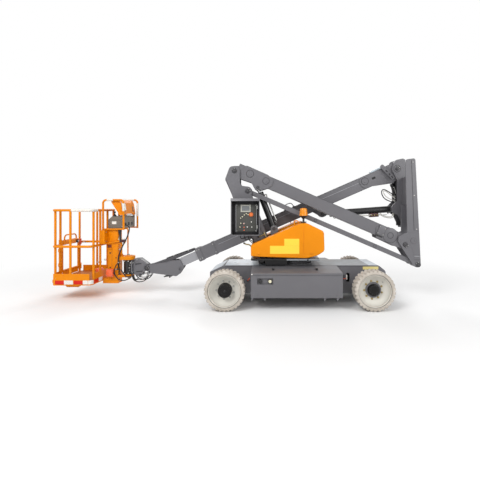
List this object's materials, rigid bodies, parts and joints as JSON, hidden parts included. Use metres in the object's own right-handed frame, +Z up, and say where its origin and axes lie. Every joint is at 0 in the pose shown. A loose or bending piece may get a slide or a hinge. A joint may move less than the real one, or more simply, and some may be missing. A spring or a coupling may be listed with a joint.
{
  "type": "articulating boom lift",
  "caption": "Self-propelled work platform on a parallelogram riser and a telescopic upper boom, with a slewing turntable and a rotating basket.",
  "frame": {"origin": "on the ground under the middle of the stowed machine", "axes": "+X from the basket to the post, +Y away from the side with the walk-round controls, +Z up"},
  "size_m": [5.7408, 1.5, 2.2581],
  "materials": {
    "grey_paint": "grey enamel over welded steel",
    "orange_paint": "orange enamel, gloss",
    "black_paint": "satin black enamel",
    "light_grey_paint": "light grey enamel",
    "cream_paint": "cream enamel on the wheels",
    "pale_tyre": "pale non-marking rubber",
    "chrome_rod": "hard chrome piston rods",
    "amber_lens": "amber moulded lens",
    "orange_plastic": "orange moulded cover",
    "box_plastic": "grey moulded box",
    "hose_rubber": "black cable sheath"
  },
  "bodies": {
    "chassis": {"chassis_frame": "grey_paint", "side_box_near": "grey_paint", "side_box_far": "grey_paint", "batteries": "black_paint", "drive_units": "black_paint", "steer_axle": "black_paint", "slew_ring": "black_paint"},
    "steer_bar": {"steer_bar": "black_paint"},
    "turntable": {"turntable_plate": "black_paint", "upright": "grey_paint", "cover_near": "orange_paint", "cover_far": "orange_paint", "counterweight": "grey_paint", "control_box": "grey_paint", "beacon_stem": "black_paint", "beacon": "amber_lens"},
    "lower_boom": {"lower_boom": "grey_paint"},
    "tie_rod": {"tie_rod": "grey_paint"},
    "post": {"post": "grey_paint", "boom_ears": "grey_paint", "post_lugs": "grey_paint"},
    "outer_boom": {"outer_boom": "grey_paint", "hose_guide": "grey_paint"},
    "inner_boom": {"inner_boom": "light_grey_paint", "boom_nose": "grey_paint", "nose_pins": "black_paint"},
    "knuckle": {"basket_knuckle": "grey_paint", "rotator": "black_paint"},
    "platform": {"basket_carrier": "orange_paint", "basket_floor": "orange_paint", "basket_near": "orange_paint", "basket_far": "orange_paint", "basket_back": "orange_paint", "basket_gate_end": "orange_paint", "console": "box_plastic", "console_guard": "orange_paint", "console_hose": "hose_rubber"},
    "gate": {"gate": "orange_paint"},
    "console_cover": {"console_cover": "orange_plastic"},
    "steer_knuckle_near": {"steer_knuckle_near": "black_paint"},
    "wheel_drive_near": {"tyre_drive_near": "pale_tyre", "rim_drive_near": "cream_paint"},
    "wheel_steer_near": {"tyre_steer_near": "pale_tyre", "rim_steer_near": "cream_paint"},
    "steer_knuckle_far": {"steer_knuckle_far": "black_paint"},
    "wheel_drive_far": {"tyre_drive_far": "pale_tyre", "rim_drive_far": "cream_paint"},
    "wheel_steer_far": {"tyre_steer_far": "pale_tyre", "rim_steer_far": "cream_paint"},
    "riser_cylinder_barrel": {"riser_cylinder_barrel": "black_paint"},
    "riser_cylinder_rod": {"riser_cylinder_rod": "chrome_rod"},
    "boom_cylinder_barrel": {"boom_cylinder_barrel": "black_paint"},
    "boom_cylinder_rod": {"boom_cylinder_rod": "chrome_rod"},
    "master_cylinder_barrel": {"master_cylinder_barrel": "black_paint"},
    "master_cylinder_rod": {"master_cylinder_rod": "chrome_rod"},
    "slave_cylinder_barrel": {"slave_cylinder_barrel": "black_paint"},
    "slave_cylinder_rod": {"slave_cylinder_rod": "chrome_rod"}
  },
  "joints": [
    {"name": "wheel_drive_near_spin", "type": "hinge", "parent": "chassis", "child": "wheel_drive_near", "pos_m": [-0.0905, -0.65, 0.285], "axis": [0, 1, 0], "continuous": true},
    {"name": "wheel_steer_near_spin", "type": "hinge", "parent": "steer_knuckle_near", "child": "wheel_steer_near", "pos_m": [2.0095, -0.65, 0.285], "axis": [0, 1, 0], "continuous": true},
    {"name": "wheel_drive_far_spin", "type": "hinge", "parent": "chassis", "child": "wheel_drive_far", "pos_m": [-0.0905, 0.65, 0.285], "axis": [0, 1, 0], "continuous": true},
    {"name": "wheel_steer_far_spin", "type": "hinge", "parent": "steer_knuckle_far", "child": "wheel_steer_far", "pos_m": [2.0095, 0.65, 0.285], "axis": [0, 1, 0], "continuous": true},
    {"name": "steering", "type": "hinge", "parent": "chassis", "child": "steer_knuckle_near", "pos_m": [2.0095, -0.47, 0.285], "axis": [0, 0, 1], "range_deg": [-35, 35]},
    {"name": "steering_far", "type": "hinge", "parent": "chassis", "child": "steer_knuckle_far", "pos_m": [2.0095, 0.47, 0.285], "axis": [0, 0, 1], "range_deg": [-35, 35]},
    {"name": "steer_bar_slide", "type": "slide", "parent": "chassis", "child": "steer_bar", "axis": [0, 1, 0], "range_m": [-0.06409, 0.06409]},
    {"name": "slew", "type": "hinge", "parent": "chassis", "child": "turntable", "pos_m": [0.9595, 0, 0.64], "axis": [0, 0, 1], "range_deg": [-177.5, 177.5]},
    {"name": "riser_lift", "type": "hinge", "parent": "turntable", "child": "lower_boom", "pos_m": [0.0025, -0.14, 2.015], "axis": [0, -1, 0], "range_deg": [0, 70]},
    {"name": "tie_rod_swing", "type": "hinge", "parent": "turntable", "child": "tie_rod", "pos_m": [0.2025, -0.14, 1.705], "axis": [0, -1, 0], "range_deg": [0, 70]},
    {"name": "post_level", "type": "hinge", "parent": "lower_boom", "child": "post", "pos_m": [2.6225, -0.14, 0.885], "axis": [0, -1, 0], "range_deg": [-70, 0]},
    {"name": "riser_cylinder_swing", "type": "hinge", "parent": "turntable", "child": "riser_cylinder_barrel", "pos_m": [0.6085, -0.14, 1.126], "axis": [0, -1, 0], "range_deg": [-9.6, 0]},
    {"name": "riser_cylinder_stroke", "type": "slide", "parent": "riser_cylinder_barrel", "child": "riser_cylinder_rod", "axis": [-0.3641, 0, 0.9314], "range_m": [0, 0.48285]},
    {"name": "boom_lift", "type": "hinge", "parent": "post", "child": "outer_boom", "pos_m": [2.6385, 0.2, 2.091], "axis": [0, 1, 0], "range_deg": [0, 90]},
    {"name": "boom_cylinder_swing", "type": "hinge", "parent": "post", "child": "boom_cylinder_barrel", "pos_m": [2.6125, 0.2, 1.43], "axis": [0, 1, 0], "range_deg": [0, 73.61]},
    {"name": "boom_cylinder_stroke", "type": "slide", "parent": "boom_cylinder_barrel", "child": "boom_cylinder_rod", "axis": [-0.9974, 0, -0.0721], "range_m": [0, 0.81967]},
    {"name": "master_cylinder_swing", "type": "hinge", "parent": "post", "child": "master_cylinder_barrel", "pos_m": [2.6865, 0.2, 1.525], "axis": [0, 1, 0], "range_deg": [-6.95, 0]},
    {"name": "master_cylinder_stroke", "type": "slide", "parent": "master_cylinder_barrel", "child": "master_cylinder_rod", "axis": [-0.2692, 0, 0.9631], "range_m": [0, 0.29365]},
    {"name": "slave_cylinder_swing", "type": "hinge", "parent": "inner_boom", "child": "slave_cylinder_barrel", "pos_m": [-0.9425, 0.2, 0.44], "axis": [0, 1, 0], "range_deg": [-5.98, 0]},
    {"name": "slave_cylinder_stroke", "type": "slide", "parent": "slave_cylinder_barrel", "child": "slave_cylinder_rod", "axis": [-0.988, 0, -0.1547], "range_m": [-0.23534, 0]},
    {"name": "platform_level", "type": "hinge", "parent": "inner_boom", "child": "knuckle", "pos_m": [-1.4845, 0.2, 0.453], "axis": [0, 1, 0], "range_deg": [-90, 0]},
    {"name": "telescope", "type": "slide", "parent": "outer_boom", "child": "inner_boom", "axis": [-0.9171, 0, -0.3987], "range_m": [0, 1.3]},
    {"name": "platform_rotate", "type": "hinge", "parent": "knuckle", "child": "platform", "pos_m": [-1.8215, 0.2, 0.46], "axis": [0, 0, 1], "range_deg": [-80, 80]},
    {"name": "gate_swing", "type": "hinge", "parent": "platform", "child": "gate", "pos_m": [-2.8385, 0, 0.64], "axis": [0, 0, -1], "range_deg": [0, 85]},
    {"name": "console_cover_fold", "type": "hinge", "parent": "platform", "child": "console_cover", "pos_m": [-1.8765, 0.375, 1.331], "axis": [0, -1, 0], "range_deg": [0, 50]}
  ],
  "couplings": [
    {"joint": "steering_far", "follows": "steering", "ratio": 1},
    {"joint": "steer_bar_slide", "follows": "steering", "m_per_rad": 0.10329},
    {"joint": "tie_rod_swing", "follows": "riser_lift", "ratio": 1},
    {"joint": "post_level", "follows": "riser_lift", "ratio": -1},
    {"joint": "riser_cylinder_swing", "follows": "riser_lift", "ratio": -0.13004},
    {"joint": "riser_cylinder_stroke", "follows": "riser_lift", "m_per_rad": 0.39359},
    {"joint": "boom_cylinder_swing", "follows": "boom_lift", "ratio": 0.81238},
    {"joint": "boom_cylinder_stroke", "follows": "boom_lift", "m_per_rad": 0.52055},
    {"joint": "master_cylinder_swing", "follows": "boom_lift", "ratio": -0.071708},
    {"joint": "master_cylinder_stroke", "follows": "boom_lift", "m_per_rad": 0.18567},
    {"joint": "slave_cylinder_swing", "follows": "boom_lift", "ratio": -0.060921},
    {"joint": "slave_cylinder_stroke", "follows": "boom_lift", "m_per_rad": -0.14855},
    {"joint": "platform_level", "follows": "boom_lift", "ratio": -1}
  ]
}
